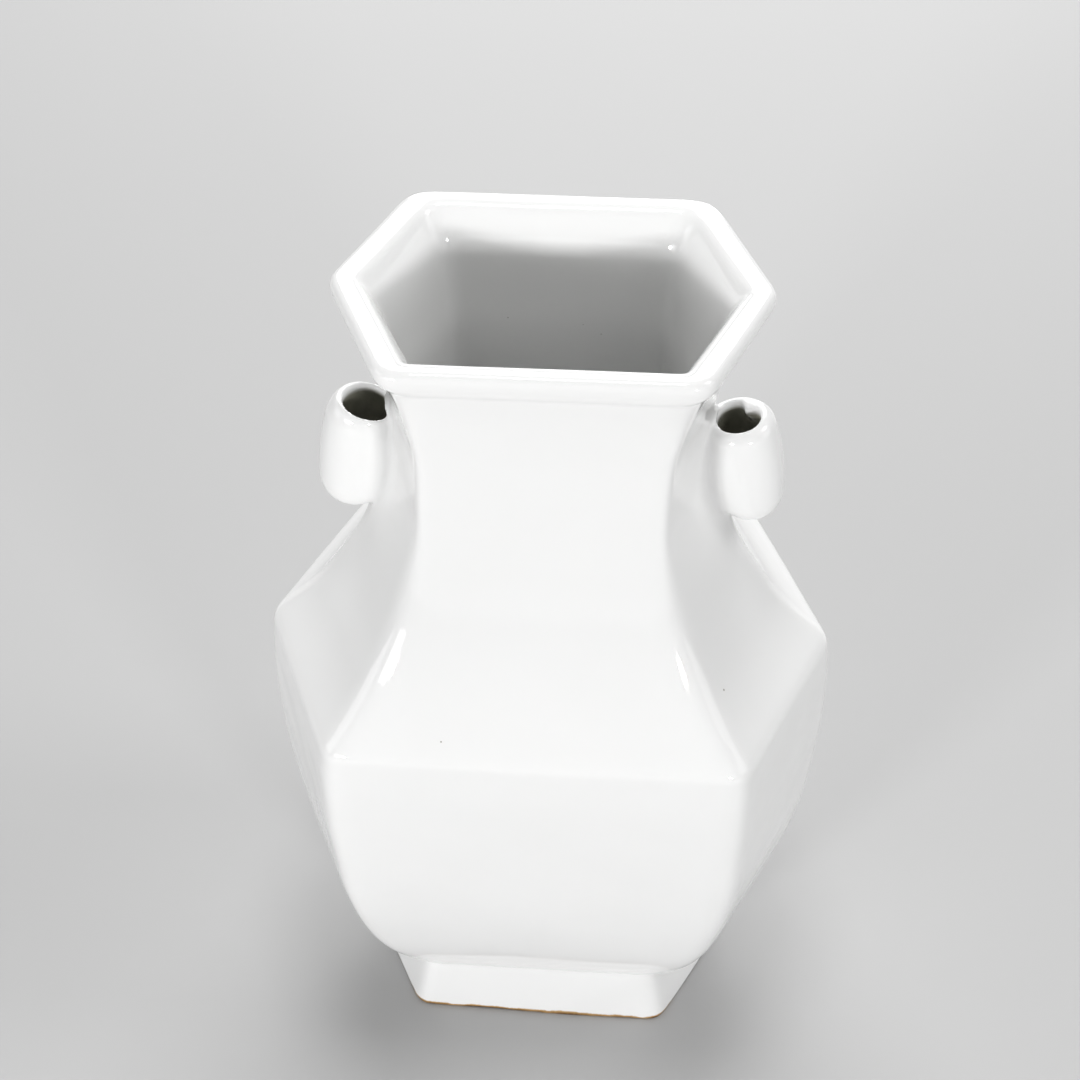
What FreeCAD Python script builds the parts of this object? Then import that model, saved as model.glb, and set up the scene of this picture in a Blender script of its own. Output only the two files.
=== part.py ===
# Glazed porcelain vase: elongated six-sided section, waisted neck with a thick lip,
# creased shoulder, short flaring foot and two upright tube lugs on the side ridges.
#
# Frame: millimetres, +Z up, origin at the centre of the foot's standing plane.
# X is the wide axis and the lugs stand at +X and -X. The front face looks to -Y.
#
# Every level of the body is a six-sided ring given by four numbers:
#   level  height of the ring above the standing plane
#   ridge  half width, from the axis to the (unrounded) side ridge on the X axis
#   face   half width of the flat front and back faces
#   depth  half depth, from the axis to the front and back faces
# and all six corners of the ring are rounded by one radius.

import FreeCAD, Part
import math
import os
import Sketcher

V = FreeCAD.Vector
doc = FreeCAD.newDocument("glazed_vase")

# ---------------------------------------------------------------- dimensions
# outside of the lower body, from the foot up to the shoulder
LOWER = [
    # level, ridge, face, depth
    (16.0, 64.4, 45.0, 42.3),
    (18.2, 66.9, 46.7, 43.5),
    (21.0, 69.7, 48.9, 45.2),
    (25.5, 73.9, 52.0, 47.9),
    (31.5, 78.5, 55.4, 51.1),
    (39.5, 83.3, 58.8, 54.5),
    (50.0, 87.8, 62.0, 57.9),
    (62.0, 91.5, 64.6, 61.1),
    (78.0, 95.0, 67.1, 64.4),
    (98.0, 97.5, 68.8, 67.4),
    (121.0, 99.1, 70.0, 70.2),
    (140.0, 99.4, 70.2, 71.9),
    (151.5, 98.6, 69.6, 72.0),
]
# the soft crease of the shoulder
CREASE = [
    (151.5, 98.6, 69.6, 72.0),
    (154.0, 97.9, 69.1, 71.6),
    (156.0, 96.3, 68.0, 70.4),
]
# shoulder slope and waisted neck, up to the underside of the lip
UPPER = [
    (156.0, 96.3, 68.0, 70.4),
    (161.5, 90.3, 63.8, 65.9),
    (171.5, 81.2, 57.3, 59.2),
    (183.5, 73.2, 51.7, 53.3),
    (198.0, 65.3, 46.1, 47.5),
    (214.5, 58.7, 41.9, 43.1),
    (233.5, 54.4, 39.8, 40.8),
    (254.0, 54.4, 40.0, 40.9),
    (273.0, 58.9, 42.6, 43.3),
    (285.0, 64.3, 45.6, 46.4),
    (290.0, 67.3, 47.6, 48.3),
]
# rolled outside of the lip
LIP = [
    (290.0, 67.3, 47.6, 48.3),
    (291.6, 69.6, 49.4, 50.1),
    (293.8, 70.9, 50.5, 51.2),
    (296.4, 71.4, 50.9, 51.7),
    (298.6, 70.8, 50.5, 51.1),
    (299.7, 69.6, 49.7, 50.0),
    (300.0, 68.4, 48.9, 48.9),
]
# hollow: bevelled mouth, then the neck, then the belly down to the floor
MOUTH_HOLLOW = [
    (300.0, 64.4, 46.2, 45.2),
    (299.1, 62.4, 45.0, 43.7),
    (297.6, 60.9, 44.0, 42.5),
    (293.0, 58.1, 42.1, 40.2),
    (288.0, 55.4, 40.2, 37.9),
    (283.5, 53.8, 39.3, 37.0),
]
NECK_HOLLOW = [
    (283.5, 53.8, 39.3, 37.0),
    (270.0, 51.6, 38.0, 36.3),
    (252.0, 48.5, 36.3, 35.4),
    (234.0, 48.4, 36.0, 35.3),
    (215.0, 52.3, 37.9, 37.4),
    (198.0, 58.8, 42.0, 41.7),
    (183.0, 66.9, 47.8, 47.5),
    (170.0, 75.5, 53.7, 53.5),
    (158.0, 85.5, 60.7, 60.9),
    (149.0, 91.4, 64.7, 65.6),
]
BELLY_HOLLOW = [
    (149.0, 91.4, 64.7, 65.6),
    (138.0, 92.9, 66.0, 65.9),
    (118.0, 92.4, 65.7, 64.0),
    (96.0, 90.7, 64.4, 61.2),
    (76.0, 87.9, 62.4, 58.0),
    (60.0, 84.2, 59.7, 54.3),
    (46.0, 79.0, 56.0, 49.9),
    (35.0, 72.6, 51.5, 44.9),
    (27.5, 65.6, 46.6, 39.4),
    (23.0, 57.5, 41.0, 33.0),
    (21.0, 49.5, 35.4, 26.5),
]
# flaring foot and the recess under it
FOOT = [
    (0.0, 67.5, 45.2, 47.2),
    (16.0, 61.9, 41.6, 41.6),
]
RECESS = [
    (0.0, 60.4, 40.8, 40.6),
    (8.5, 57.2, 38.6, 37.4),
]

sheet = doc.addObject("Spreadsheet::Sheet", "Dimensions")
_row = [0]


def cell(alias, value, note=""):
    """One driving dimension: a plain number in the sheet, with a name."""
    _row[0] += 1
    n = _row[0]
    sheet.set("A%d" % n, note or alias.replace("_", " "))
    sheet.set("B%d" % n, "%.4f" % value)
    sheet.setAlias("B%d" % n, alias)
    return "Dimensions." + alias


TABLES = {
    "lower": LOWER, "crease": CREASE, "upper": UPPER, "lip": LIP,
    "mouth_hollow": MOUTH_HOLLOW, "neck_hollow": NECK_HOLLOW,
    "belly_hollow": BELLY_HOLLOW, "foot": FOOT, "recess": RECESS,
}
WORDS = ["one", "two", "three", "four", "five", "six", "seven", "eight", "nine",
         "ten", "eleven", "twelve", "thirteen"]
for table_name, rows in TABLES.items():
    for k, row in enumerate(rows):
        for what, value in zip(("level", "ridge", "face", "depth"), row):
            cell("%s_%s_%s" % (table_name, WORDS[k], what), value)

cell("outer_corner", 7.0, "rounding of the six outside corners")
cell("lip_corner", 7.0, "rounding of the corners of the lip")
cell("inner_corner", 5.0, "rounding of the corners of the hollow")
cell("foot_corner", 4.5, "rounding of the corners of the foot")
cell("lug_axis", 64.3, "lug axis from the vase axis, at mid height of the lug")
cell("lug_lean", 9.0, "lean of the lug axis, top towards the neck, degrees")
cell("lug_middle", 231.0, "mid height of the lugs above the standing plane")
cell("lug_height", 39.0, "length of a lug along its axis")
cell("lug_radius", 12.5, "largest outside radius of a lug")
cell("lug_waist", 12.0, "outside radius of a lug just under its rounded top")
cell("lug_round_top", 4.6, "rounding of the lug's upper edge")
cell("lug_round_foot", 6.5, "rounding of the lug's lower edge")
cell("lug_bore", 7.4, "radius of the lug's bore")
cell("lug_bore_round", 1.2, "rounding of the bore's two mouths")
cell("bore_offset", 0.6, "how far the bore sits off the lug axis, towards the neck")
cell("bead_width", 17.0, "width of the clay bead that lutes a lug to its ridge")
cell("bead_short", 5.5, "how far the bead stays inside the lug's ends")
cell("bead_reach", 12.0, "how far the bead runs from the lug axis into the neck")
doc.recompute()


def value(alias):
    return float(sheet.get(alias))


# ---------------------------------------------------------------- the body
vase = doc.addObject("PartDesign::Body", "Body")
vase.Label = "vase"
try:
    vase.AllowCompound = True      # the two lugs stand apart until the neck joins them
except AttributeError:
    pass


def origin_plane(role):
    for feature in vase.Origin.OriginFeatures:
        if feature.Role == role:
            return feature
    raise RuntimeError(role)


XY = origin_plane("XY_Plane")
XZ = origin_plane("XZ_Plane")
YZ = origin_plane("YZ_Plane")


def rounded_ring(ridge, face, depth, radius):
    """Lines and corner arcs of one six-sided ring, counter-clockwise."""
    sharp = [V(ridge, 0, 0), V(face, depth, 0), V(-face, depth, 0),
             V(-ridge, 0, 0), V(-face, -depth, 0), V(face, -depth, 0)]
    ins, outs, arcs = [], [], []
    for k in range(6):
        p, here, n = sharp[k - 1], sharp[k], sharp[(k + 1) % 6]
        u = (p - here).normalize()
        w = (n - here).normalize()
        half = 0.5 * u.getAngle(w)
        cut = radius / math.tan(half)
        bis = (u + w).normalize()
        centre = here + bis * (radius / math.sin(half))
        a, b = here + u * cut, here + w * cut
        ins.append(a)
        outs.append(b)
        a0 = math.atan2(a.y - centre.y, a.x - centre.x)
        a1 = math.atan2(b.y - centre.y, b.x - centre.x)
        arcs.append(Part.ArcOfCircle(Part.Circle(centre, V(0, 0, 1), radius), a0, a1))
    lines = [Part.LineSegment(outs[k], ins[(k + 1) % 6]) for k in range(6)]
    return sharp, lines, arcs


def ring_sketch(table_name, k, corner_alias):
    """Sketch of one ring, bound to its four cells and the corner radius."""
    key = "%s_%s" % (table_name, WORDS[k])
    level, ridge, face, depth = TABLES[table_name][k]
    radius = value(corner_alias)
    sk = vase.newObject("Sketcher::SketchObject", "Ring_" + key)
    sk.AttachmentSupport = [(XY, "")]
    sk.MapMode = "FlatFace"
    sk.AttachmentOffset = FreeCAD.Placement(V(0, 0, level), FreeCAD.Rotation())
    sharp, lines, arcs = rounded_ring(ridge, face, depth, radius)
    geo = []
    for c in range(6):                 # arc c, then the line that leaves it
        geo += [arcs[c], lines[c]]
    sk.addGeometry(geo, False)         # arc c is 2c, line c is 2c + 1
    marks = sk.addGeometry([Part.Point(p) for p in sharp], True)   # sharp corners
    m0 = marks[0]
    C = Sketcher.Constraint
    cons = []
    for c in range(6):
        cons.append(C("Tangent", 2 * c, 2, 2 * c + 1, 1))
        cons.append(C("Tangent", 2 * c + 1, 2, (2 * c + 2) % 12, 1))
    for c in range(1, 6):
        cons.append(C("Equal", 0, 2 * c))
    # the sharp corners mirror each other in both axes
    cons.append(C("PointOnObject", m0, 1, -1))
    cons.append(C("Symmetric", m0, 1, m0 + 3, 1, -1, 1))
    cons.append(C("Symmetric", m0 + 1, 1, m0 + 2, 1, -2))
    cons.append(C("Symmetric", m0 + 1, 1, m0 + 5, 1, -1))
    cons.append(C("Symmetric", m0 + 1, 1, m0 + 4, 1, -1, 1))
    # each side passes through its two sharp corners
    for c in range(6):
        cons.append(C("PointOnObject", m0 + c, 1, 2 * c + 1))
        cons.append(C("PointOnObject", m0 + (c + 1) % 6, 1, 2 * c + 1))
    n = sk.ConstraintCount
    sk.addConstraint(cons)
    for what, con in (
        ("ridge", C("DistanceX", -1, 1, m0, 1, ridge)),
        ("face", C("DistanceX", -1, 1, m0 + 1, 1, face)),
        ("depth", C("DistanceY", -1, 1, m0 + 1, 1, depth)),
        ("corner", C("Radius", 0, radius)),
    ):
        idx = sk.addConstraint(con)
        sk.renameConstraint(idx, what)
        alias = corner_alias if what == "corner" else "%s_%s" % (key, what)
        sk.setExpression("Constraints." + what, "Dimensions." + alias)
    sk.setExpression("AttachmentOffset.Base.z", "Dimensions.%s_level" % key)
    sk.Visibility = False
    return sk


def loft(name, kind, table_name, corner_alias, ruled=False, first=None, last=None):
    """Loft through the rings of one table; first/last reuse a shared ring."""
    rows = TABLES[table_name]
    rings = []
    for k in range(len(rows)):
        if k == 0 and first is not None:
            rings.append(first)
        else:
            rings.append(ring_sketch(table_name, k, corner_alias))
    feature = vase.newObject("PartDesign::" + kind, name)
    feature.Profile = rings[0]
    feature.Sections = rings[1:]
    feature.Ruled = ruled
    feature.Closed = False
    feature.Refine = False
    return feature, rings


def steps(name, feature):
    doc.recompute()
    shape = feature.Shape
    print("%-14s valid=%s solids=%d volume=%.1f" % (
        name, shape.isValid(), len(shape.Solids), shape.Volume / 1000.0))
    return shape.Volume


# ---------------------------------------------------------------- the lugs
# A lug is turned about its own axis: a short barrel with rounded ends. Its axis leans,
# top towards the neck, along the neck's ridge.
def lug_sketch(name, shift=0.0, where="Dimensions.lug_axis"):
    sk = vase.newObject("Sketcher::SketchObject", name)
    sk.AttachmentSupport = [(XZ, "")]
    sk.MapMode = "FlatFace"
    # sketch origin on the lug axis at mid height, sketch Y along the lug axis
    sk.AttachmentOffset = FreeCAD.Placement(
        V(value("lug_axis") - shift, value("lug_middle"), 0),
        FreeCAD.Rotation(V(0, 0, 1), value("lug_lean")))
    sk.setExpression("AttachmentOffset.Base.x", where)
    sk.setExpression("AttachmentOffset.Base.y", "Dimensions.lug_middle")
    sk.setExpression("AttachmentOffset.Rotation.Angle", "Dimensions.lug_lean")
    sk.Visibility = False
    return sk


C = Sketcher.Constraint
half = value("lug_height") / 2.0
ro, rw = value("lug_radius"), value("lug_waist")
rt, rb = value("lug_round_top"), value("lug_round_foot")

lug = lug_sketch("Lug_profile")
# outline: up the axis, out along the top, round the edge, down the side, round, back
slope = math.atan2(ro - rw, 2 * half - rt - rb)
top_c = V(rw - rt, half - rt, 0)
bot_c = V(ro - rb, -half + rb, 0)
side_top = V(rw, half - rt, 0)
side_bot = V(ro, -half + rb, 0)
g = lug.addGeometry([
    Part.LineSegment(V(0, -half, 0), V(0, half, 0)),                                 # 0 axis side
    Part.LineSegment(V(0, half, 0), V(rw - rt, half, 0)),                            # 1 top
    Part.ArcOfCircle(Part.Circle(top_c, V(0, 0, 1), rt), 0.0, math.pi / 2),          # 2 upper edge
    Part.LineSegment(side_top, side_bot),                                            # 3 side
    Part.ArcOfCircle(Part.Circle(bot_c, V(0, 0, 1), rb), -math.pi / 2, 0.0),         # 4 lower edge
    Part.LineSegment(V(ro - rb, -half, 0), V(0, -half, 0)),                          # 5 underside
], False)
lug.addConstraint([
    C("Coincident", 0, 2, 1, 1),
    C("Tangent", 1, 2, 2, 2),
    C("Coincident", 2, 1, 3, 1),
    C("Coincident", 3, 2, 4, 2),
    C("Tangent", 4, 1, 5, 1),
    C("Coincident", 5, 2, 0, 1),
    C("PointOnObject", 0, 1, -2),
    C("Horizontal", 1),
    C("Horizontal", 5),
    C("Symmetric", 0, 1, 0, 2, -1, 1),
    C("Horizontal", 2, 3, 2, 1),
    C("Horizontal", 4, 3, 4, 2),
])
for what, con, expr in (
    ("long", C("DistanceY", 0, 1, 0, 2, 2 * half), "Dimensions.lug_height"),
    ("round_top", C("Radius", 2, rt), "Dimensions.lug_round_top"),
    ("round_foot", C("Radius", 4, rb), "Dimensions.lug_round_foot"),
    ("waist", C("DistanceX", -1, 1, 3, 1, rw), "Dimensions.lug_waist"),
    ("wide", C("DistanceX", -1, 1, 3, 2, ro), "Dimensions.lug_radius"),
):
    i = lug.addConstraint(con)
    lug.renameConstraint(i, what)
    lug.setExpression("Constraints." + what, expr)
doc.recompute()

barrel = vase.newObject("PartDesign::Revolution", "Lug")
barrel.Profile = lug
barrel.ReferenceAxis = (lug, ["V_Axis"])
barrel.Angle = 360.0
barrel.Refine = False
steps("lug", barrel)

# the bead of clay that lutes the lug to the ridge of the neck
bead_sk = lug_sketch("Bead_outline")
reach, short = value("bead_reach"), value("bead_short")
bead_sk.addGeometry([
    Part.LineSegment(V(-reach, -half + short, 0), V(0, -half + short, 0)),
    Part.LineSegment(V(0, -half + short, 0), V(0, half - short, 0)),
    Part.LineSegment(V(0, half - short, 0), V(-reach, half - short, 0)),
    Part.LineSegment(V(-reach, half - short, 0), V(-reach, -half + short, 0)),
], False)
bead_sk.addConstraint([
    C("Coincident", 0, 2, 1, 1), C("Coincident", 1, 2, 2, 1),
    C("Coincident", 2, 2, 3, 1), C("Coincident", 3, 2, 0, 1),
    C("Horizontal", 0), C("Horizontal", 2), C("Vertical", 3),
    C("PointOnObject", 1, 1, -2),
    C("Symmetric", 1, 1, 1, 2, -1),
])
for what, con, expr in (
    ("tall", C("DistanceY", 1, 1, 1, 2, 2 * (half - short)),
     "Dimensions.lug_height - 2 * Dimensions.bead_short"),
    ("reach", C("DistanceX", 3, 1, -1, 1, reach), "Dimensions.bead_reach"),
):
    i = bead_sk.addConstraint(con)
    bead_sk.renameConstraint(i, what)
    bead_sk.setExpression("Constraints." + what, expr)
doc.recompute()
bead = vase.newObject("PartDesign::Pad", "Bead")
bead.Profile = bead_sk
bead.SideType = "Symmetric" if hasattr(bead, "SideType") else 0
bead.setExpression("Length", "Dimensions.bead_width")
bead.Refine = False
steps("bead", bead)

# the bore through the lug, with rounded mouths; made before the neck, so that the
# neck's own wall stays whole where it passes the bore
bore_sk = lug_sketch("Bore_profile", value("bore_offset"),
                     "Dimensions.lug_axis - Dimensions.bore_offset")
rbore, rr = value("lug_bore"), value("lug_bore_round")
big = rbore + rr
over = half + 1.0
bore_sk.addGeometry([
    Part.LineSegment(V(0, -over, 0), V(0, over, 0)),                                     # 0
    Part.LineSegment(V(0, over, 0), V(big, over, 0)),                                    # 1
    Part.LineSegment(V(big, over, 0), V(big, half, 0)),                                  # 2
    Part.ArcOfCircle(Part.Circle(V(big, half - rr, 0), V(0, 0, 1), rr), math.pi / 2, math.pi),   # 3
    Part.LineSegment(V(rbore, half - rr, 0), V(rbore, -half + rr, 0)),                   # 4
    Part.ArcOfCircle(Part.Circle(V(big, -half + rr, 0), V(0, 0, 1), rr), math.pi, 1.5 * math.pi),  # 5
    Part.LineSegment(V(big, -half, 0), V(big, -over, 0)),                                # 6
    Part.LineSegment(V(big, -over, 0), V(0, -over, 0)),                                  # 7
], False)
bore_sk.addConstraint([
    C("Coincident", 0, 2, 1, 1), C("Coincident", 1, 2, 2, 1),
    C("Coincident", 2, 2, 3, 1), C("Tangent", 3, 2, 4, 1),
    C("Tangent", 4, 2, 5, 1), C("Coincident", 5, 2, 6, 1),
    C("Coincident", 6, 2, 7, 1), C("Coincident", 7, 2, 0, 1),
    C("PointOnObject", 0, 1, -2),
    C("Horizontal", 1), C("Horizontal", 7), C("Vertical", 2), C("Vertical", 6),
    C("Symmetric", 0, 1, 0, 2, -1, 1),
    C("Vertical", 3, 3, 3, 1), C("Vertical", 5, 3, 5, 2), C("Equal", 3, 5),
    C("Symmetric", 4, 1, 4, 2, -1),
])
for what, con, expr in (
    ("long", C("DistanceY", 0, 1, 0, 2, 2 * over), "Dimensions.lug_height + 2"),
    ("rounding", C("Radius", 3, rr), "Dimensions.lug_bore_round"),
    ("bore", C("DistanceX", -1, 1, 4, 1, rbore), "Dimensions.lug_bore"),
    ("mouths", C("DistanceY", 6, 1, 2, 2, 2 * half), "Dimensions.lug_height"),
):
    i = bore_sk.addConstraint(con)
    bore_sk.renameConstraint(i, what)
    bore_sk.setExpression("Constraints." + what, expr)
doc.recompute()
bore = vase.newObject("PartDesign::Groove", "Bore")
bore.Profile = bore_sk
bore.ReferenceAxis = (bore_sk, ["V_Axis"])
bore.Angle = 360.0
bore.Refine = False
steps("bore", bore)

# the second lug mirrors the first
second = vase.newObject("PartDesign::Mirrored", "Second_lug")
second.Originals = [barrel, bead, bore]
second.MirrorPlane = (YZ, [""])
second.Refine = False
vase.Tip = second
steps("second lug", second)

# ---------------------------------------------------------------- the outside
lower, lower_rings = loft("Lower_body", "AdditiveLoft", "lower", "outer_corner")
steps("lower body", lower)
crease, crease_rings = loft("Shoulder_crease", "AdditiveLoft", "crease", "outer_corner",
                            first=lower_rings[-1])
steps("crease", crease)
upper, upper_rings = loft("Shoulder_and_neck", "AdditiveLoft", "upper", "outer_corner",
                          first=crease_rings[-1])
steps("neck", upper)
lip, lip_rings = loft("Lip", "AdditiveLoft", "lip", "lip_corner", first=upper_rings[-1])
steps("lip", lip)
foot, foot_rings = loft("Foot", "AdditiveLoft", "foot", "foot_corner", ruled=True)
steps("foot", foot)

# ---------------------------------------------------------------- the hollow
belly, belly_rings = loft("Belly_hollow", "SubtractiveLoft", "belly_hollow", "inner_corner")
steps("belly hollow", belly)
neck, neck_rings = loft("Neck_hollow", "SubtractiveLoft", "neck_hollow", "inner_corner")
steps("neck hollow", neck)
mouth, mouth_rings = loft("Mouth_hollow", "SubtractiveLoft", "mouth_hollow", "inner_corner")
steps("mouth hollow", mouth)
recess, recess_rings = loft("Foot_recess", "SubtractiveLoft", "recess", "foot_corner", ruled=True)
steps("recess", recess)
vase.Tip = recess
doc.recompute()

# ---------------------------------------------------------------- checks and files
for obj in doc.Objects:
    for state in ("Invalid", "Error"):
        if state in obj.State:
            raise RuntimeError("%s is %s" % (obj.Label, state))
    if obj.TypeId == "Sketcher::SketchObject" and obj.solve() != 0:
        raise RuntimeError("%s does not solve" % obj.Label)

shape = vase.Shape
if shape.isNull() or not shape.isValid():
    raise RuntimeError("the vase is not a valid shape")
if len(shape.Solids) != 1:
    raise RuntimeError("the vase is %d solids" % len(shape.Solids))
box = shape.BoundBox
print("box x %.2f..%.2f  y %.2f..%.2f  z %.2f..%.2f" % (
    box.XMin, box.XMax, box.YMin, box.YMax, box.ZMin, box.ZMax))
print("volume %.1f cm3" % (shape.Volume / 1000.0))

os.makedirs("parts", exist_ok=True)
solid = shape.Solids[0]
solid.exportStep("parts/%s.step" % vase.Label)
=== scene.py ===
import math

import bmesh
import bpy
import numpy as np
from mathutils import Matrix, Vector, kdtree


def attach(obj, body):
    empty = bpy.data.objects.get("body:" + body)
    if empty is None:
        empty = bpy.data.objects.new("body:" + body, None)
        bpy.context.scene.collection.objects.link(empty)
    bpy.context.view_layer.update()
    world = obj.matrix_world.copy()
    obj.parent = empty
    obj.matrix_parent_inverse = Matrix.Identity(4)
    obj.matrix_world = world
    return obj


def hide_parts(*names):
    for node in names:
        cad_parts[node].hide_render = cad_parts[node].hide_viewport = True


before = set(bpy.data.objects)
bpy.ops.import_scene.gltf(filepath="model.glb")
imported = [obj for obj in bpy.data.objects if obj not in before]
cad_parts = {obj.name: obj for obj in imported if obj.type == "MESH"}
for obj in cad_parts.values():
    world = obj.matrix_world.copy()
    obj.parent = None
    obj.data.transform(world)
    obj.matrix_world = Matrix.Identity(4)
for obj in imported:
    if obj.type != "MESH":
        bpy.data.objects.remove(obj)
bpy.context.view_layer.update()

# Glazed porcelain vase, modelled as one continuous fired piece.
# The surface is the zero level of a signed field, in millimetres:
#   six-sided rings with softly rounded corners that follow height tables,
#   a wall profile (outside, rolled lip, bevelled mouth, hollow and floor),
#   a short flaring foot with a recess, and two tube lugs luted to the side ridges.
# The field is meshed on an uneven grid, thinned, projected back onto the exact surface
# and given the exact normals of the field, so that the gloss runs as on real glaze.

MM = 0.001

# ------------------------------------------------------------------ shape tables
# level, half width at the ridge, half width of the flat face, half depth (sharp corners)
LOWER = np.array([
    (8.0, 57.5, 40.0, 37.6),
    (12.0, 60.6, 42.3, 39.6),
    (16.0, 64.2, 44.9, 42.0),
    (18.2, 66.8, 46.7, 43.4),
    (21.0, 69.7, 48.9, 45.2),
    (25.5, 73.9, 52.0, 47.9),
    (31.5, 78.5, 55.4, 51.1),
    (39.5, 83.3, 58.8, 54.5),
    (50.0, 87.8, 62.0, 57.9),
    (62.0, 91.5, 64.6, 61.1),
    (78.0, 95.0, 67.1, 64.4),
    (98.0, 97.5, 68.8, 67.4),
    (121.0, 99.1, 70.0, 70.2),
    (140.0, 99.4, 70.2, 71.9),
    (154.25, 98.3, 69.5, 72.1),
    (166.0, 96.2, 68.0, 71.4),
])
UPPER = np.array([
    (144.0, 111.5, 78.5, 81.0),
    (154.25, 98.3, 69.5, 72.1),
    (161.5, 90.3, 63.8, 65.9),
    (171.5, 81.2, 57.3, 59.2),
    (183.5, 73.2, 51.7, 53.3),
    (198.0, 65.3, 46.1, 47.5),
    (214.5, 58.7, 41.9, 43.1),
    (233.5, 54.4, 39.8, 40.8),
    (254.0, 54.4, 40.0, 40.9),
    (273.0, 58.9, 42.6, 43.3),
    (285.0, 64.3, 45.6, 46.4),
    (290.0, 67.2, 47.5, 48.2),
    (295.0, 69.3, 49.0, 49.8),
    (300.0, 70.9, 50.2, 51.1),
    (306.0, 72.3, 51.2, 52.2),
])
ZT = np.arange(0.0, 310.0, 0.05)


def pchip(x, y, q):
    """Monotone cubic through the stations."""
    h = np.diff(x)
    d = np.diff(y) / h
    m = np.zeros_like(y)
    for i in range(1, len(x) - 1):
        if d[i - 1] * d[i] > 0:
            w1, w2 = 2 * h[i] + h[i - 1], h[i] + 2 * h[i - 1]
            m[i] = (w1 + w2) / (w1 / d[i - 1] + w2 / d[i])
    m[0], m[-1] = d[0], d[-1]
    k = np.clip(np.searchsorted(x, q) - 1, 0, len(x) - 2)
    t = (q - x[k]) / h[k]
    t = np.clip(t, -2.0, 3.0)
    t2, t3 = t * t, t * t * t
    out = ((2 * t3 - 3 * t2 + 1) * y[k] + (t3 - 2 * t2 + t) * h[k] * m[k]
           + (-2 * t3 + 3 * t2) * y[k + 1] + (t3 - t2) * h[k] * m[k + 1])
    low, high = q < x[0], q > x[-1]
    out[low] = y[0] + d[0] * (q[low] - x[0])
    out[high] = y[-1] + d[-1] * (q[high] - x[-1])
    return out


def smooth(v, sigma_mm):
    """Gaussian smoothing of a dense table, so that curvature changes softly."""
    n = int(round(4 * sigma_mm / 0.05))
    k = np.exp(-0.5 * (np.arange(-n, n + 1) * 0.05 / sigma_mm) ** 2)
    k /= k.sum()
    left = v[0] + (v[1] - v[0]) * np.arange(-n, 0)
    right = v[-1] + (v[-1] - v[-2]) * np.arange(1, n + 1)
    return np.convolve(np.concatenate([left, v, right]), k, mode="valid")


def low_blend(a, b, k):
    h = np.maximum(k - np.abs(a - b), 0.0) / k
    return np.minimum(a, b) - k * h ** 3 / 6.0


# the lower and upper walls meet in the shoulder's crease, rounded by the glaze
RING = []
for col, k in ((1, 4.6), (2, 3.6), (3, 3.8)):
    lo_curve = smooth(pchip(LOWER[:, 0], LOWER[:, col], ZT), 2.6)
    up_curve = smooth(pchip(UPPER[:, 0], UPPER[:, col], ZT), 3.4)
    RING.append(low_blend(lo_curve, up_curve, k) - 0.2)
W_T, A_T, D_T = RING


def smin(a, b, k):
    h = np.maximum(k - np.abs(a - b), 0.0) / k
    return np.minimum(a, b) - k * h ** 3 / 6.0


def smax(a, b, k):
    h = np.maximum(k - np.abs(a - b), 0.0) / k
    return np.maximum(a, b) + k * h ** 3 / 6.0


def smin_g(a, ga, b, gb, k):
    """Smooth minimum of two fields with their gradients."""
    h = np.maximum(k - np.abs(a - b), 0.0) / k
    v = np.minimum(a, b) - k * h ** 3 / 6.0
    wb = 0.5 * h ** 2                       # weight of the larger one
    wa = np.where(a <= b, 1.0 - wb, wb)[:, None]
    return v, wa * ga + (1.0 - wa) * gb


def smax_g(a, ga, b, gb, k):
    v, g = smin_g(-a, -ga, -b, -gb, k)
    return -v, -g


def step01(v):
    v = np.clip(v, 0.0, 1.0)
    return v * v * (3.0 - 2.0 * v)


def waves(x, y, z):
    """The slight unevenness of hand-pressed, glazed walls, about 0.2 mm."""
    return (0.10 * np.sin(0.061 * x + 0.047 * z + 0.6) * np.cos(0.053 * y - 0.031 * z + 1.1)
            + 0.07 * np.sin(0.105 * x - 0.083 * z + 2.3 + 0.02 * y)
            + 0.05 * np.cos(0.121 * y + 0.098 * z + 0.07 * x + 0.4)
            + 0.03 * np.sin(0.19 * z + 0.11 * x - 0.13 * y))


def warp(x, y, z):
    """The mouth has settled a little out of true in the kiln."""
    s = step01((z - 205.0) / 85.0)
    ang = -math.radians(0.85) * s
    xs, ys = x - 0.77 * s, y + 0.29 * s
    return xs + ang * -ys, ys + ang * xs


def hexagon(x, y, W, A, D, k_ridge, k_face):
    """Ring field: below 0 inside, its corners rounded alike at every level."""
    X, Y = np.abs(x), np.abs(y)
    ex, ey = W - A, D
    L = np.sqrt(ex * ex + ey * ey)
    nx, ny = ey / L, ex / L
    a = nx * (X - W) + ny * Y
    a2 = nx * (X - W) - ny * Y
    s = smax(a, a2, k_ridge)
    return smax(s, Y - D, k_face)


def ring_outer(x, y, z):
    xw, yw = warp(x, y, z)
    W, A, D = (np.interp(z, ZT, T) for T in RING)
    # the ridges of the front and back faces stay sharp beside the lugs
    k_face = 11.0 - 6.0 * step01((z - 203.0) / 27.0) * step01((286.0 - z) / 20.0)
    return hexagon(xw, yw, W, A, D, 4.4, k_face) - waves(x, y, z)


def ring_inner(x, y, z):
    xw, yw = warp(x, y, z)
    W, A, D = (np.interp(z, ZT, T) for T in RING)
    soft = 0.75 + 0.75 * step01((150.0 - z) / 120.0)
    # the corners of the mouth and neck were wiped rounder on the inside, most at the back
    wiped = step01((z - 190.0) / 50.0)
    A = A - 1.1 * wiped
    back = step01((y + 12.0) / 24.0)
    return (hexagon(xw, yw, W, A, D, 3.4 * soft, (8.0 + wiped * (6.5 * back - 2.5)) * soft)
            - waves(x + 31.0, y - 17.0, z + 9.0))


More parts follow.
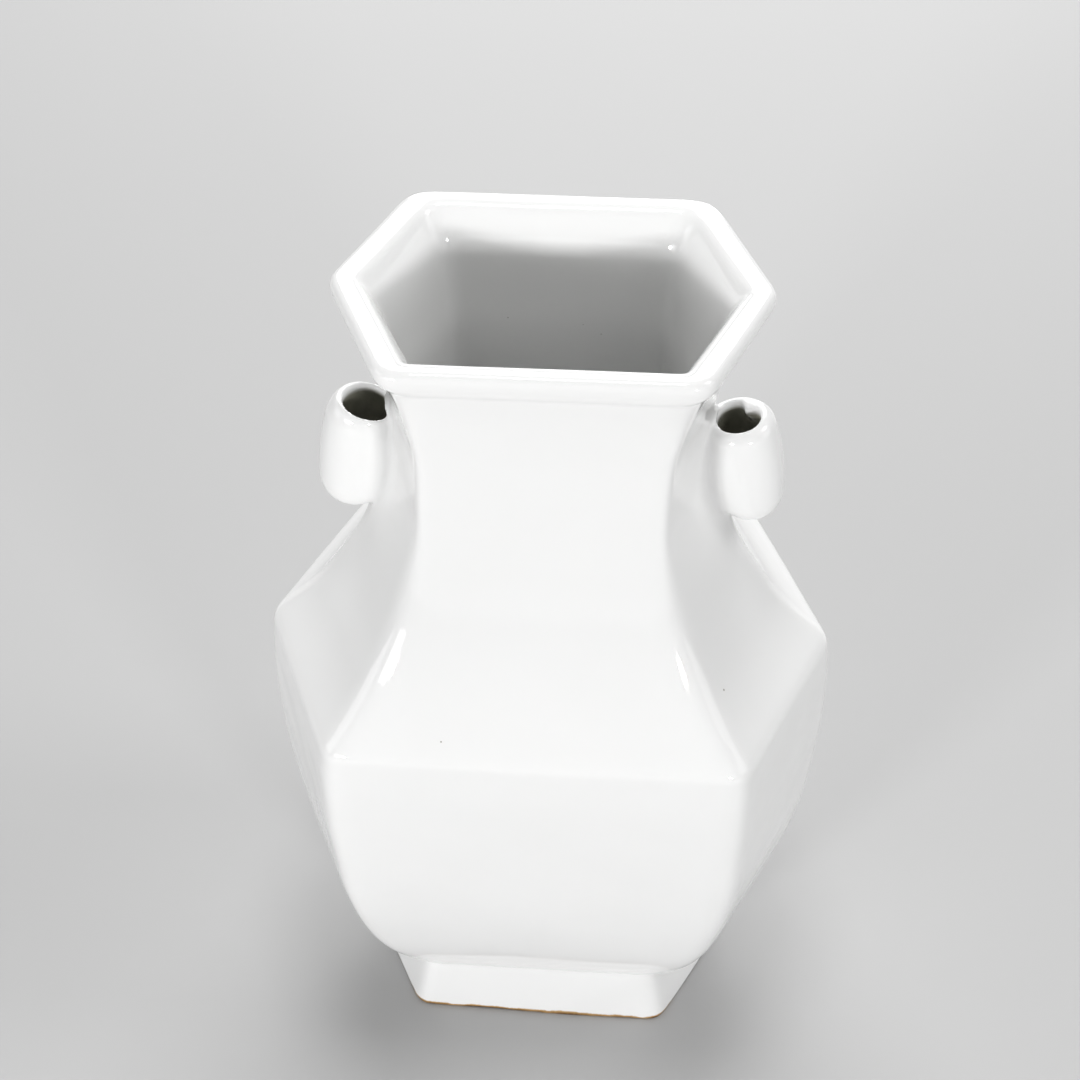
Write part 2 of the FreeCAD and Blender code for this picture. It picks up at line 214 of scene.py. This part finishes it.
def ring_foot(x, y, z):
    u = np.clip(z, -5.0, 30.0) / 16.0
    flare = 0.5 * (1.0 - u) * np.clip(u, 0.0, 1.0)       # the foot is a little hollow-sided
    W, A, D = 67.5 - 5.6 * u - flare, 45.2 - 3.6 * u - flare, 47.2 - 5.7 * u - flare
    wob = 0.12 * np.sin(0.083 * x + 0.9) + 0.10 * np.cos(0.071 * x + 0.11 * y)
    # its front face was set a little forward and leans out more at the right
    front = step01((12.0 - y) / 24.0)
    v = np.clip(u, -0.3, 1.2)
    y = y + front * (2.4 - 1.3 * v + x * (0.0178 - 0.0288 * v))
    return hexagon(x, y, W, A, D, 2.6, 6.5) - wob


def ring_recess(x, y, z):
    u = np.clip(z, -5.0, 20.0) / 8.5
    W, A, D = 60.6 - 3.2 * u, 40.9 - 2.2 * u, 40.7 - 3.2 * u
    return hexagon(x, y, W, A, D, 3.0, 7.0)


# ------------------------------------------------------------------ wall profiles
# (t, z): t is the distance inwards from the reference ring
OUT_PROFILE = np.array([
    (40.0, 15.6), (20.0, 15.6), (6.0, 15.6), (3.0, 15.65), (1.4, 15.9), (0.45, 16.7),
    (0.05, 18.4), (0.0, 22.0), (0.0, 60.0), (0.0, 110.0), (0.0, 160.0), (0.0, 210.0),
    (0.0, 250.0), (0.0, 275.0), (0.02, 284.0), (0.04, 287.6), (-0.20, 289.2),
    (-0.85, 290.7), (-1.55, 292.6), (-1.72, 294.6), (-1.38, 296.6), (-0.55, 298.3),
    (0.85, 299.45), (2.7, 299.88), (5.0, 299.92), (9.0, 299.9), (20.0, 299.9), (40.0, 299.9)])
IN_PROFILE = np.array([
    (46.0, 20.6), (34.0, 20.6), (26.0, 20.7), (20.5, 20.9), (16.2, 21.8), (12.6, 24.0),
    (9.9, 28.0), (8.2, 34.0), (7.1, 44.0), (6.4, 58.0), (6.1, 76.0), (5.9, 97.0),
    (5.9, 118.0), (5.95, 138.0), (6.5, 149.0), (7.7, 158.0), (6.8, 170.0), (6.1, 183.0),
    (5.75, 198.0), (5.6, 215.0), (5.45, 234.0), (5.5, 252.0), (6.35, 268.0), (8.2, 280.0),
    (9.35, 287.0), (9.35, 292.0), (8.35, 296.6), (7.0, 299.0), (4.9, 300.6), (1.5, 302.2),
    (-4.0, 303.6)])


def natural(pts):
    """Natural cubic through the points, against chord length; dense samples."""
    s = np.concatenate([[0.0], np.cumsum(np.sqrt((np.diff(pts, axis=0) ** 2).sum(1)) ** 0.5)])
    n = len(s)
    h = np.diff(s)
    M = np.zeros((n, n))
    R = np.zeros((n, 2))
    M[0, 0] = M[-1, -1] = 1.0
    for i in range(1, n - 1):
        M[i, i - 1], M[i, i], M[i, i + 1] = h[i - 1], 2 * (h[i - 1] + h[i]), h[i]
        R[i] = 6 * ((pts[i + 1] - pts[i]) / h[i] - (pts[i] - pts[i - 1]) / h[i - 1])
    c = np.linalg.solve(M, R)
    out = []
    for i in range(n - 1):
        length = np.hypot(*(pts[i + 1] - pts[i]))
        m = max(4, int(length / 0.12))
        q = np.arange(m) / m * h[i]
        r = h[i] - q
        q, r = q[:, None], r[:, None]
        out.append(c[i] * r ** 3 / (6 * h[i]) + c[i + 1] * q ** 3 / (6 * h[i])
                   + (pts[i] / h[i] - c[i] * h[i] / 6) * r
                   + (pts[i + 1] / h[i] - c[i + 1] * h[i] / 6) * q)
    out.append(pts[-1:])
    return np.concatenate(out)


class Profile:
    """Signed distance to a wall profile in the (t, z) plane, below 0 on its left."""

    T0, T1, DT = -16.0, 62.0, 0.5
    Z0, Z1 = -4.0, 306.0

    def __init__(self, pts):
        self.p = natural(pts)
        d = np.gradient(self.p, axis=0)
        d /= np.hypot(d[:, 0], d[:, 1])[:, None]
        self.n = np.stack([d[:, 1], -d[:, 0]], axis=1)       # right of the way = outside
        tree = kdtree.KDTree(len(self.p))
        for i, (a, b) in enumerate(self.p):
            tree.insert((a, b, 0.0), i)
        tree.balance()
        ts = np.arange(self.T0, self.T1 + 0.1, self.DT)
        zs = np.arange(self.Z0, self.Z1 + 0.1, self.DT)
        self.idx = np.array([[tree.find((a, b, 0.0))[1] for a in ts] for b in zs], np.int32)
        self.ts = ts

    def near(self, t, z):
        i = np.clip(np.rint((z - self.Z0) / self.DT).astype(int), 0, self.idx.shape[0] - 1)
        j = np.clip(np.rint((t - self.T0) / self.DT).astype(int), 0, self.idx.shape[1] - 1)
        base = self.idx[i, j]
        best = base.copy()
        bd = np.full(t.shape, 1e9)
        for k in range(-12, 13):
            c = np.clip(base + k, 0, len(self.p) - 1)
            dd = (t - self.p[c, 0]) ** 2 + (z - self.p[c, 1]) ** 2
            m = dd < bd
            bd[m] = dd[m]
            best[m] = c[m]
        return best

    def sdf(self, t, z):
        """Distance and its outward unit normal in (t, z)."""
        b = np.clip(self.near(t, z), 1, len(self.p) - 2)
        p = self.p[b]
        tan = self.p[b + 1] - self.p[b - 1]
        u = ((t - p[:, 0]) * tan[:, 0] + (z - p[:, 1]) * tan[:, 1]) / (tan ** 2).sum(1)
        u = np.clip(2.0 * u, -1.0, 1.0)
        o = np.where(u >= 0, b + 1, b - 1)
        w = np.abs(u)[:, None]
        n = self.n[b] * (1 - w) + self.n[o] * w
        n /= np.hypot(n[:, 0], n[:, 1])[:, None]
        q = self.p[b] * (1 - w) + self.p[o] * w
        v = (t - q[:, 0]) * n[:, 0] + (z - q[:, 1]) * n[:, 1]
        dist = np.hypot(t - q[:, 0], z - q[:, 1])
        far = dist > 1.0
        v = np.where(far, np.where(v >= 0, dist, -dist), v)
        return v, n

    def layer(self, z):
        """Distances along t at one height, for the grid."""
        zz = np.full(self.ts.shape, z)
        return self.sdf(self.ts, zz)[0]


OUTER = Profile(OUT_PROFILE[::-1])
INNER = Profile(IN_PROFILE)

# ------------------------------------------------------------------ the lugs
def tilted(side, centre, half, lean, forward, body, top, foot, bore, off, rise):
    """Sizes of one lug and the frame of its axis, which leans to the neck and forwards."""
    w = np.array([-math.tan(math.radians(lean)), -math.tan(math.radians(forward)), 1.0])
    w /= np.linalg.norm(w)
    u = np.array([1.0, 0.0, 0.0])
    u -= w * (u @ w)
    u /= np.linalg.norm(u)
    return dict(side=side, c=np.array(centre), half=half, w=w, u=u, v=np.cross(w, u),
                body=body, top=top, foot=foot, bore=bore, off=off, rise=rise)


LUGS = {
    1: tilted(1, (64.76, 0.0, 231.51), 19.80, 9.58, 4.43, (12.42, 0.031, -0.005),
              3.9, 7.1, 7.05, (-0.05, -0.30), 0.35),
    -1: tilted(-1, (63.81, 0.0, 230.63), 19.80, 8.40, 3.77, (12.72, 0.003, -0.004),
               7.2, 7.2, 8.00, (-1.50, -0.30), 0.55),
}


def lug_frame(L, x, y, z):
    """Outwards, backwards and up the axis of the lug."""
    px, py, pz = x * L["side"] - L["c"][0], y - L["c"][1], z - L["c"][2]
    return tuple(px * e[0] + py * e[1] + pz * e[2] for e in (L["u"], L["v"], L["w"]))


def lug_body(L, x, y, z):
    """The barrel of a lug, its two ends domed in to the rim of the bore."""
    a, b, h = lug_frame(L, x, y, z)
    r0, r1, r2 = L["body"]
    hc = np.clip(h, -24.0, 24.0)
    ang = np.arctan2(b, a)
    outer = r0 + r1 * hc + r2 * hc * hc
    outer = outer + (0.16 * np.cos(2 * ang + 0.5) if L["side"] > 0 else 0.13 * np.cos(2 * ang - 0.9))
    rad = np.sqrt(a * a + b * b + 1e-9)
    rim = L["bore"] + 0.6
    wide = outer - rim
    tilt = h - L["rise"] - 0.25 * np.sin(0.21 * b + (0.4 if L["side"] > 0 else 2.2))
    end = np.where(tilt > 0, L["top"], L["foot"])
    over = np.maximum(np.abs(tilt) - (L["half"] - end), 0.0) / end
    q = np.sqrt((np.maximum(rad - rim, 0.0) / wide) ** 2 + over * over + 1e-12)
    return (q - 1.0) * wide


def lug_bore(L, x, y, z):
    """The bore of a lug: below 0 in the air."""
    a, b, h = lug_frame(L, x, y, z)
    # drilled slightly off the axis: nearer the neck at the top than at the foot
    a, b = a - L["off"][0] * (0.6 + 0.02 * h), b - L["off"][1]
    rad = np.sqrt(a * a + b * b + 1e-9)
    ang = np.arctan2(b, a)
    bore = L["bore"] + 0.10 * np.cos(3 * ang + 1.0)
    if L["side"] > 0:
        # a lump of clay left at the back of the right bore's mouth
        bore = bore - 3.1 * np.exp(-((ang - 0.98) / 0.40) ** 2 - ((h - 19.0) / 5.0) ** 2)
    else:
        bore = bore - 0.5 * np.exp(-((ang - 2.2) / 0.5) ** 2 - ((h - 18.0) / 7.0) ** 2)
    past = np.maximum(np.abs(h) - L["half"], 0.0)
    return rad - bore + 0.75 * past * past


def lugs(x, y, z):
    out = None
    for side in (1, -1):
        f = lug_body(LUGS[side], x, y, z)
        out = f if out is None else np.minimum(out, f)
    return out


def lug_blend(z):
    """The fillet from lug to neck is full along the barrel and tight at its two ends."""
    return K_LUG + 6.0 * step01((z - 209.0) / 9.0) * step01((246.0 - z) / 10.0)


def bores(x, y, z):
    return np.minimum(lug_bore(LUGS[1], x, y, z), lug_bore(LUGS[-1], x, y, z))


def gradient(fn, x, y, z, h=0.04):
    gx = fn(x + h, y, z) - fn(x - h, y, z)
    gy = fn(x, y + h, z) - fn(x, y - h, z)
    gz = fn(x, y, z + h) - fn(x, y, z - h)
    return np.stack([gx, gy, gz], axis=1) / (2 * h)


def under(x, y, z):
    """The standing plane of the foot, faintly uneven."""
    return 0.16 + 0.15 * np.sin(0.11 * x + 0.5) * np.cos(0.07 * y) - z


K_LIP, K_FOOT, K_EDGE, K_REC, K_LUG, K_RIM = 3.4, 0.9, 1.7, 2.6, 4.5, 2.1


def field_layer(X, Y, z):
    """The whole field on one grid layer."""
    zz = np.full_like(X, z)
    out = None
    so = ring_outer(X, Y, zz)
    f = np.interp(-so, OUTER.ts, OUTER.layer(z))
    if z < 30.0:
        ft = ring_foot(X, Y, zz)
        ft = smax(ft, under(X, Y, zz), K_EDGE)
        ft = np.maximum(ft, z - 19.0)
        f = smin(f, ft, K_FOOT)
    if 196.0 < z < 262.0:
        f = smin(f, lugs(X, Y, zz), lug_blend(zz))
        f = smax(f, -bores(X, Y, zz), K_RIM)
    if z > 14.0:
        si = ring_inner(X, Y, zz)
        g = np.interp(-si, INNER.ts, INNER.layer(z))
        f = smax(f, g, K_LIP)
    if z < 14.0:
        r = ring_recess(X, Y, zz)
        r = smax(r, zz - 8.5, 4.0)
        f = smax(f, -r, K_REC)
    return f


def field_points(P):
    """Value and gradient of the field at scattered points."""
    x, y, z = P[:, 0], P[:, 1], P[:, 2]
    so = ring_outer(x, y, z)
    gs = gradient(ring_outer, x, y, z)
    v, n = OUTER.sdf(-so, z)
    g = -n[:, :1] * gs
    g[:, 2] += n[:, 1]
    # foot
    m = z < 30.0
    if m.any():
        a, b, c = x[m], y[m], z[m]
        fv, fg = ring_foot(a, b, c), gradient(ring_foot, a, b, c)
        uv, ug = under(a, b, c), gradient(under, a, b, c)
        fv, fg = smax_g(fv, fg, uv, ug, K_EDGE)
        cap = c - 19.0
        up = np.zeros_like(fg)
        up[:, 2] = 1.0
        w = cap > fv
        fv = np.where(w, cap, fv)
        fg = np.where(w[:, None], up, fg)
        v[m], g[m] = smin_g(v[m], g[m], fv, fg, K_FOOT)
    # lugs
    m = (z > 196.0) & (z < 262.0)
    if m.any():
        a, b, c = x[m], y[m], z[m]
        v[m], g[m] = smin_g(v[m], g[m], lugs(a, b, c), gradient(lugs, a, b, c, 0.01),
                               lug_blend(c))
        v[m], g[m] = smax_g(v[m], g[m], -bores(a, b, c), -gradient(bores, a, b, c, 0.01), K_RIM)
    # hollow
    m = z > 14.0
    if m.any():
        a, b, c = x[m], y[m], z[m]
        si, gi = ring_inner(a, b, c), gradient(ring_inner, a, b, c)
        iv, n = INNER.sdf(-si, c)
        ig = -n[:, :1] * gi
        ig[:, 2] += n[:, 1]
        v[m], g[m] = smax_g(v[m], g[m], iv, ig, K_LIP)
    # recess under the foot
    m = z < 14.0
    if m.any():
        a, b, c = x[m], y[m], z[m]
        rv, rg = ring_recess(a, b, c), gradient(ring_recess, a, b, c)
        up = np.zeros_like(rg)
        up[:, 2] = 1.0
        rv, rg = smax_g(rv, rg, c - 8.5, up, 4.0)
        v[m], g[m] = smax_g(v[m], g[m], -rv, -rg, K_REC)
    return v, g


# ------------------------------------------------------------------ meshing
def axis(*spans):
    """Grid lines: (from, to, step) spans joined end to end."""
    out = []
    for a, b, s in spans:
        n = max(1, int(round((b - a) / s)))
        out.append(a + (b - a) * np.arange(n) / n)
    out.append(np.array([spans[-1][1]]))
    return np.concatenate(out)


GX = axis((-102, -80, 1.5), (-80, -49, 0.85), (-49, 49, 1.7), (49, 80, 0.85), (80, 102, 1.5))
GY = axis((-75, -14, 1.6), (-14, 14, 0.85), (14, 75, 1.6))
GZ = axis((-2.2, 3.0, 0.5), (3.0, 12.5, 1.1), (12.5, 20.5, 0.55), (20.5, 30.0, 1.1),
          (30.0, 147.0, 2.0), (147.0, 160.0, 1.1), (160.0, 205.0, 1.7), (205.0, 253.0, 0.85),
          (253.0, 286.0, 1.5), (286.0, 302.0, 0.65))


def nets():
    """Surface nets on the uneven grid: one point in each cell that the surface crosses."""
    X, Y = np.meshgrid(GX, GY, indexing="ij")
    F = np.stack([field_layer(X.ravel(), Y.ravel(), z).reshape(X.shape) for z in GZ], axis=2)
    F = F.astype(np.float64)
    inside = F < 0
    nx, ny, nz = F.shape
    cnt = np.zeros((nx - 1, ny - 1, nz - 1), np.int8)
    for i in (0, 1):
        for j in (0, 1):
            for k in (0, 1):
                cnt += inside[i:nx - 1 + i, j:ny - 1 + j, k:nz - 1 + k]
    active = (cnt > 0) & (cnt < 8)
    I, J, K = np.nonzero(active)
    number = np.full(active.shape, -1, np.int64)
    number[I, J, K] = np.arange(len(I))
    acc = np.zeros((len(I), 3))
    hit = np.zeros(len(I))
    for ax in range(3):
        for a in (0, 1):
            for b in (0, 1):
                o = [0, 0, 0]
                o[(ax + 1) % 3], o[(ax + 2) % 3] = a, b
                e = list(o)
                e[ax] = 1
                f0 = F[I + o[0], J + o[1], K + o[2]]
                f1 = F[I + e[0], J + e[1], K + e[2]]
                m = (f0 < 0) != (f1 < 0)
                t = np.where(m, f0 / np.where(m, f0 - f1, 1.0), 0.0)
                p0 = np.stack([GX[I + o[0]], GY[J + o[1]], GZ[K + o[2]]], axis=1)
                p1 = np.stack([GX[I + e[0]], GY[J + e[1]], GZ[K + e[2]]], axis=1)
                acc[m] += (p0 + (p1 - p0) * t[:, None])[m]
                hit[m] += 1
    P = acc / hit[:, None]
    quads = []
    for ax in range(3):
        u, w = (ax + 1) % 3, (ax + 2) % 3
        s0 = [slice(None)] * 3
        s1 = [slice(None)] * 3
        s0[ax], s1[ax] = slice(0, -1), slice(1, None)
        cross = inside[tuple(s0)] != inside[tuple(s1)]
        first = inside[tuple(s0)]
        q = np.argwhere(cross)
        keep = (q[:, u] > 0) & (q[:, w] > 0) & (q[:, u] < F.shape[u] - 1) & (q[:, w] < F.shape[w] - 1)
        q = q[keep]
        flip = ~first[q[:, 0], q[:, 1], q[:, 2]]
        ids = []
        for du, dw in ((-1, -1), (0, -1), (0, 0), (-1, 0)):
            c = q.copy()
            c[:, u] += du
            c[:, w] += dw
            ids.append(number[c[:, 0], c[:, 1], c[:, 2]])
        ids = np.stack(ids, axis=1)
        ids[flip] = ids[flip][:, ::-1]
        quads.append(ids)
    return P, np.concatenate(quads)


def settle(P, rounds, reach):
    """Slides points onto the exact surface."""
    for _ in range(rounds):
        v, g = field_points(P)
        d = v / np.maximum((g * g).sum(1), 0.05)
        step = g * d[:, None]
        size = np.sqrt((step * step).sum(1))
        step *= np.minimum(1.0, reach / np.maximum(size, 1e-9))[:, None]
        P = P - step
    return P


def arrays(mesh):
    P = np.empty(len(mesh.vertices) * 3)
    mesh.vertices.foreach_get("co", P)
    return P.reshape(-1, 3)


P, quads = nets()
P = settle(P, 3, 0.6)
mesh = bpy.data.meshes.new("vase_fine")
mesh.vertices.add(len(P))
mesh.vertices.foreach_set("co", P.ravel())
mesh.loops.add(quads.size)
mesh.loops.foreach_set("vertex_index", quads.ravel().astype(np.int32))
mesh.polygons.add(len(quads))
mesh.polygons.foreach_set("loop_start", np.arange(0, quads.size, 4, dtype=np.int32))
mesh.update(calc_edges=True)
fine = bpy.data.objects.new("vase_fine", mesh)
bpy.context.scene.collection.objects.link(fine)
thin = fine.modifiers.new("thin", "DECIMATE")
thin.ratio = min(1.0, 186000.0 / (2 * len(quads)))
dg = bpy.context.evaluated_depsgraph_get()
body = bpy.data.meshes.new_from_object(fine.evaluated_get(dg), depsgraph=dg)
bpy.data.objects.remove(fine)
bpy.data.meshes.remove(mesh)
body.name = "vase_glazed"
P = settle(arrays(body), 3, 0.3)
P[:, 2] = np.clip(P[:, 2], 0.0, 299.98)
body.vertices.foreach_set("co", P.ravel())
# points that came to lie on each other are welded, so that no sliver is left folded over
weld = bmesh.new()
weld.from_mesh(body)
bmesh.ops.remove_doubles(weld, verts=weld.verts, dist=0.1)
weld.to_mesh(body)
weld.free()
P = arrays(body)
_, G = field_points(P)
G /= np.sqrt((G * G).sum(1))[:, None]
body.vertices.foreach_set("co", (P * MM).ravel())
body.update()
body.polygons.foreach_set("use_smooth", np.ones(len(body.polygons), bool))
body.normals_split_custom_set_from_vertices(G.tolist())


def skin_masks(P):
    """How far each point lies down in the hollow, and in a bore of the lugs, 0 to 1: the masks of the painted
    shade there.
    """
    x, y, z = P[:, 0], P[:, 1], P[:, 2]
    hollow_shade, bore_shade = np.zeros(len(P)), np.zeros(len(P))
    m = z > 19.0
    iv = INNER.sdf(-ring_inner(x[m], y[m], z[m]), z[m])[0]
    hollow_shade[m] = step01(1.5 - np.abs(iv)) * step01((296.0 - z[m]) / 16.0)
    for L in LUGS.values():
        m = (z > 205.0) & (z < 256.0) & (x * L["side"] > 45.0)
        q = (x[m], y[m], z[m])
        h = np.abs(lug_frame(L, *q)[2])
        bore_shade[m] = step01(2.0 - np.abs(lug_bore(L, *q)) / 0.35) * step01((L["half"] - 0.5 - h) / 2.2)
    return hollow_shade, bore_shade


for mask_name, values in zip(("hollow_shade", "bore_shade"), skin_masks(P)):
    layer = body.attributes.new(mask_name, "FLOAT", "POINT")
    layer.data.foreach_set("value", values.astype(np.float32))
vase = bpy.data.objects.new("vase_glazed", body)
bpy.context.scene.collection.objects.link(vase)

# ------------------------------------------------------------------ glaze
def nodes_of(name):
    m = bpy.data.materials.new(name)
    m.use_nodes = True
    nt = m.node_tree
    nt.nodes.clear()
    out = nt.nodes.new("ShaderNodeOutputMaterial")
    bsdf = nt.nodes.new("ShaderNodeBsdfPrincipled")
    nt.links.new(bsdf.outputs[0], out.inputs[0])
    return m, nt, bsdf


def add(nt, kind, **values):
    n = nt.nodes.new(kind)
    for k, v in values.items():
        setattr(n, k, v)
    return n


def math_node(nt, op, a, b=None, c=None, clamp=False):
    n = add(nt, "ShaderNodeMath", operation=op, use_clamp=clamp)
    for i, v in enumerate((a, b, c)):
        if v is None:
            continue
        if isinstance(v, (int, float)):
            n.inputs[i].default_value = v
        else:
            nt.links.new(v, n.inputs[i])
    return n.outputs[0]


def mix_node(nt, fac, a, b):
    n = add(nt, "ShaderNodeMix", data_type="RGBA")
    if isinstance(fac, (int, float)):
        n.inputs[0].default_value = fac
    else:
        nt.links.new(fac, n.inputs[0])
    for i, v in ((6, a), (7, b)):
        if isinstance(v, tuple):
            n.inputs[i].default_value = v
        else:
            nt.links.new(v, n.inputs[i])
    return n.outputs[2]


def noise_node(nt, vec, scale, detail=2.0, rough=0.5):
    n = add(nt, "ShaderNodeTexNoise")
    nt.links.new(vec, n.inputs["Vector"])
    n.inputs["Scale"].default_value = scale
    n.inputs["Detail"].default_value = detail
    n.inputs["Roughness"].default_value = rough
    return n.outputs[0]


# x, y, z and radius of the pinholes that show
PINHOLES = [
    (40.7, -38.0, 224.9, 0.55),
    (61.3, -47.5, 172.2, 0.45),
    (8.6, 34.9, 258.2, 0.45),
    (47.5, 10.8, 269.5, 0.4),
    (-16.6, 34.9, 259.8, 0.4),
    (14.7, 34.7, 254.6, 0.6),
    (3.3, 34.6, 251.5, 0.35),
    (-31.0, -66.8, 160.3, 0.35),
]

glaze, nt, bsdf = nodes_of("white_glaze")
coord = add(nt, "ShaderNodeTexCoord").outputs["Object"]
split = add(nt, "ShaderNodeSeparateXYZ")
nt.links.new(coord, split.inputs[0])
z_m = split.outputs[2]

# faint clouding of the white body under the glaze
cloud = noise_node(nt, coord, 22.0, 3.0, 0.55)
base = mix_node(nt, cloud, (0.862, 0.864, 0.860, 1.0), (0.888, 0.888, 0.884, 1.0))

# painted shade: the glaze is made greyer down in the hollow, and dark in the bores, where little light reaches
hollow_shade = add(nt, "ShaderNodeAttribute", attribute_name="hollow_shade").outputs["Fac"]
bore_shade = add(nt, "ShaderNodeAttribute", attribute_name="bore_shade").outputs["Fac"]
base = mix_node(nt, hollow_shade, base, (0.790, 0.792, 0.785, 1.0))
# painted shade in the bores: dark olive-brown with a faint mottle, standing in for the shade deep inside them
bore_mottle = noise_node(nt, coord, 260.0, 3.0, 0.6)
painted_bore_colour = mix_node(nt, bore_mottle, (0.165, 0.163, 0.130, 1.0), (0.260, 0.256, 0.208, 1.0))
base = mix_node(nt, bore_shade, base, painted_bore_colour)

# pinholes: the few that show, and a sparse scatter of smaller ones
pins = None
for px, py, pz, pr in PINHOLES:
    gap = add(nt, "ShaderNodeVectorMath", operation="DISTANCE")
    nt.links.new(coord, gap.inputs[0])
    gap.inputs[1].default_value = (px * MM, py * MM, pz * MM)
    spot = math_node(nt, "MULTIPLY_ADD", gap.outputs["Value"], -1.0 / (0.45 * pr * MM), 1.0 / 0.45, clamp=True)
    pins = spot if pins is None else math_node(nt, "MAXIMUM", pins, spot)
specks = add(nt, "ShaderNodeTexVoronoi")
nt.links.new(coord, specks.inputs["Vector"])
specks.inputs["Scale"].default_value = 42.0
small = math_node(nt, "MULTIPLY_ADD", specks.outputs["Distance"], -60.0, 1.0, clamp=True)
pins = math_node(nt, "MAXIMUM", pins, math_node(nt, "MULTIPLY", small, 0.45))
base = mix_node(nt, pins, base, (0.32, 0.30, 0.26, 1.0))

# bare, iron-brown edge where the foot stood in the kiln
wander = noise_node(nt, coord, 95.0, 4.0, 0.6)
along = math_node(nt, "ABSOLUTE", split.outputs[1])
along = math_node(nt, "MULTIPLY_ADD", along, 80.0, -2.9, clamp=True)
edge_h = math_node(nt, "MULTIPLY_ADD", wander, 0.0024, 0.0000)
edge_h = math_node(nt, "MULTIPLY_ADD", along, edge_h, 0.0004)
bare = math_node(nt, "SUBTRACT", edge_h, z_m)
bare = math_node(nt, "MULTIPLY_ADD", bare, 2600.0, 0.5, clamp=True)
grain = noise_node(nt, coord, 420.0, 4.0, 0.65)
brown = mix_node(nt, grain, (0.40, 0.21, 0.065, 1.0), (0.60, 0.39, 0.15, 1.0))
# the bare edge is made much darker in its lowest 1.6 mm or so, in patches
low_dark = math_node(nt, "MULTIPLY_ADD", z_m, -1300.0, 2.05, clamp=True)
low_dark = math_node(nt, "MULTIPLY", low_dark, math_node(nt, "MULTIPLY_ADD", wander, 3.2, -0.9, clamp=True))
brown = mix_node(nt, low_dark, brown, (0.085, 0.032, 0.006, 1.0))
colour = mix_node(nt, bare, base, brown)
nt.links.new(colour, bsdf.inputs["Base Color"])

rough = math_node(nt, "MULTIPLY_ADD", bare, 0.62, 0.055)
nt.links.new(rough, bsdf.inputs["Roughness"])
bsdf.inputs["IOR"].default_value = 1.5
bsdf.inputs["Coat Weight"].default_value = 0.0

# the glaze's faint ripple, and a sandier skin on the bare edge
ripple = noise_node(nt, coord, 70.0, 2.0, 0.5)
fine_skin = noise_node(nt, coord, 900.0, 3.0, 0.6)
height = math_node(nt, "MULTIPLY", ripple, 0.00006)
sandy = math_node(nt, "MULTIPLY", fine_skin, bare)
height = math_node(nt, "MULTIPLY_ADD", sandy, 0.00025, height)
bump = add(nt, "ShaderNodeBump")
bump.inputs["Strength"].default_value = 1.0
bump.inputs["Distance"].default_value = 1.0
nt.links.new(height, bump.inputs["Height"])
nt.links.new(bump.outputs[0], bsdf.inputs["Normal"])

body.materials.clear()
body.materials.append(glaze)
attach(vase, "root")
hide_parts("vase")

# ------------------------------------------------------------------ floor
floor_mesh = bpy.data.meshes.new("floor")
R = 6.0
floor_mesh.from_pydata([(-R, -R, 0), (R, -R, 0), (R, R, 0), (-R, R, 0)], [], [(0, 1, 2, 3)])
floor = bpy.data.objects.new("floor", floor_mesh)
bpy.context.scene.collection.objects.link(floor)
floor_mat, nt, bsdf = nodes_of("pale_floor")
bsdf.inputs["Base Color"].default_value = (0.50, 0.50, 0.50, 1.0)
bsdf.inputs["Roughness"].default_value = 0.75
bsdf.inputs["Specular IOR Level"].default_value = 0.2
floor_mesh.materials.append(floor_mat)

# ------------------------------------------------------------------ light
world = bpy.data.worlds.new("studio")
bpy.context.scene.world = world
world.use_nodes = True
world.node_tree.nodes["Background"].inputs[0].default_value = (1.0, 1.0, 1.0, 1.0)
world.node_tree.nodes["Background"].inputs[1].default_value = 0.07


def softbox(name, where, look, size, size_y, watts, colour=(1.0, 1.0, 1.0)):
    data = bpy.data.lights.new(name, "AREA")
    data.shape = "RECTANGLE"
    data.size, data.size_y = size, size_y
    data.energy = watts
    data.color = colour
    o = bpy.data.objects.new(name, data)
    bpy.context.scene.collection.objects.link(o)
    o.location = where
    o.rotation_mode = "QUATERNION"
    o.rotation_quaternion = (Vector(look) - Vector(where)).to_track_quat("-Z", "Y")
    return o


MIDDLE = (0.0, 0.0, 0.17)
softbox("front_left", (-0.9, -1.7, 0.56), MIDDLE, 0.28, 0.13, 14.3)
softbox("front_right", (0.9, -1.7, 0.56), MIDDLE, 0.28, 0.13, 12.8)
softbox("key_left", (-1.15, -1.35, 0.52), MIDDLE, 0.7, 0.4, 4.2)
softbox("side_left", (-1.8, -0.2, 0.7), MIDDLE, 0.8, 1.0, 4.6)
softbox("side_right", (1.8, -0.2, 0.7), MIDDLE, 0.8, 1.0, 3.8)
softbox("top_right", (1.2, 0.0, 1.4), MIDDLE, 0.5, 0.6, 5.2)
softbox("zenith", (0.0, 0.0, 1.8), MIDDLE, 0.4, 0.4, 6.5)
softbox("back_high", (0.0, 1.5, 1.5), MIDDLE, 1.7, 1.1, 34.0)
softbox("back_low", (0.0, 1.9, 0.5), MIDDLE, 1.2, 0.3, 9.0)

# ------------------------------------------------------------------ camera
cam_data = bpy.data.cameras.new("camera")
cam = bpy.data.objects.new("camera", cam_data)
bpy.context.scene.collection.objects.link(cam)
cam_data.sensor_fit = "HORIZONTAL"
cam_data.sensor_width = 36.0
cam_data.lens = 84.17
cam_data.clip_start, cam_data.clip_end = 0.05, 50.0
cam_data.dof.use_dof = False
cam.rotation_mode = "QUATERNION"
cam.location = (0.04535, -0.64908, 0.75657)
cam.rotation_quaternion = Vector((-0.05642, 0.75369, -0.65490)).to_track_quat("-Z", "Y")
bpy.context.scene.camera = cam

bpy.context.scene.view_settings.view_transform = "Standard"
bpy.context.scene.view_settings.look = "None"
bpy.context.scene.view_settings.exposure = 0.0
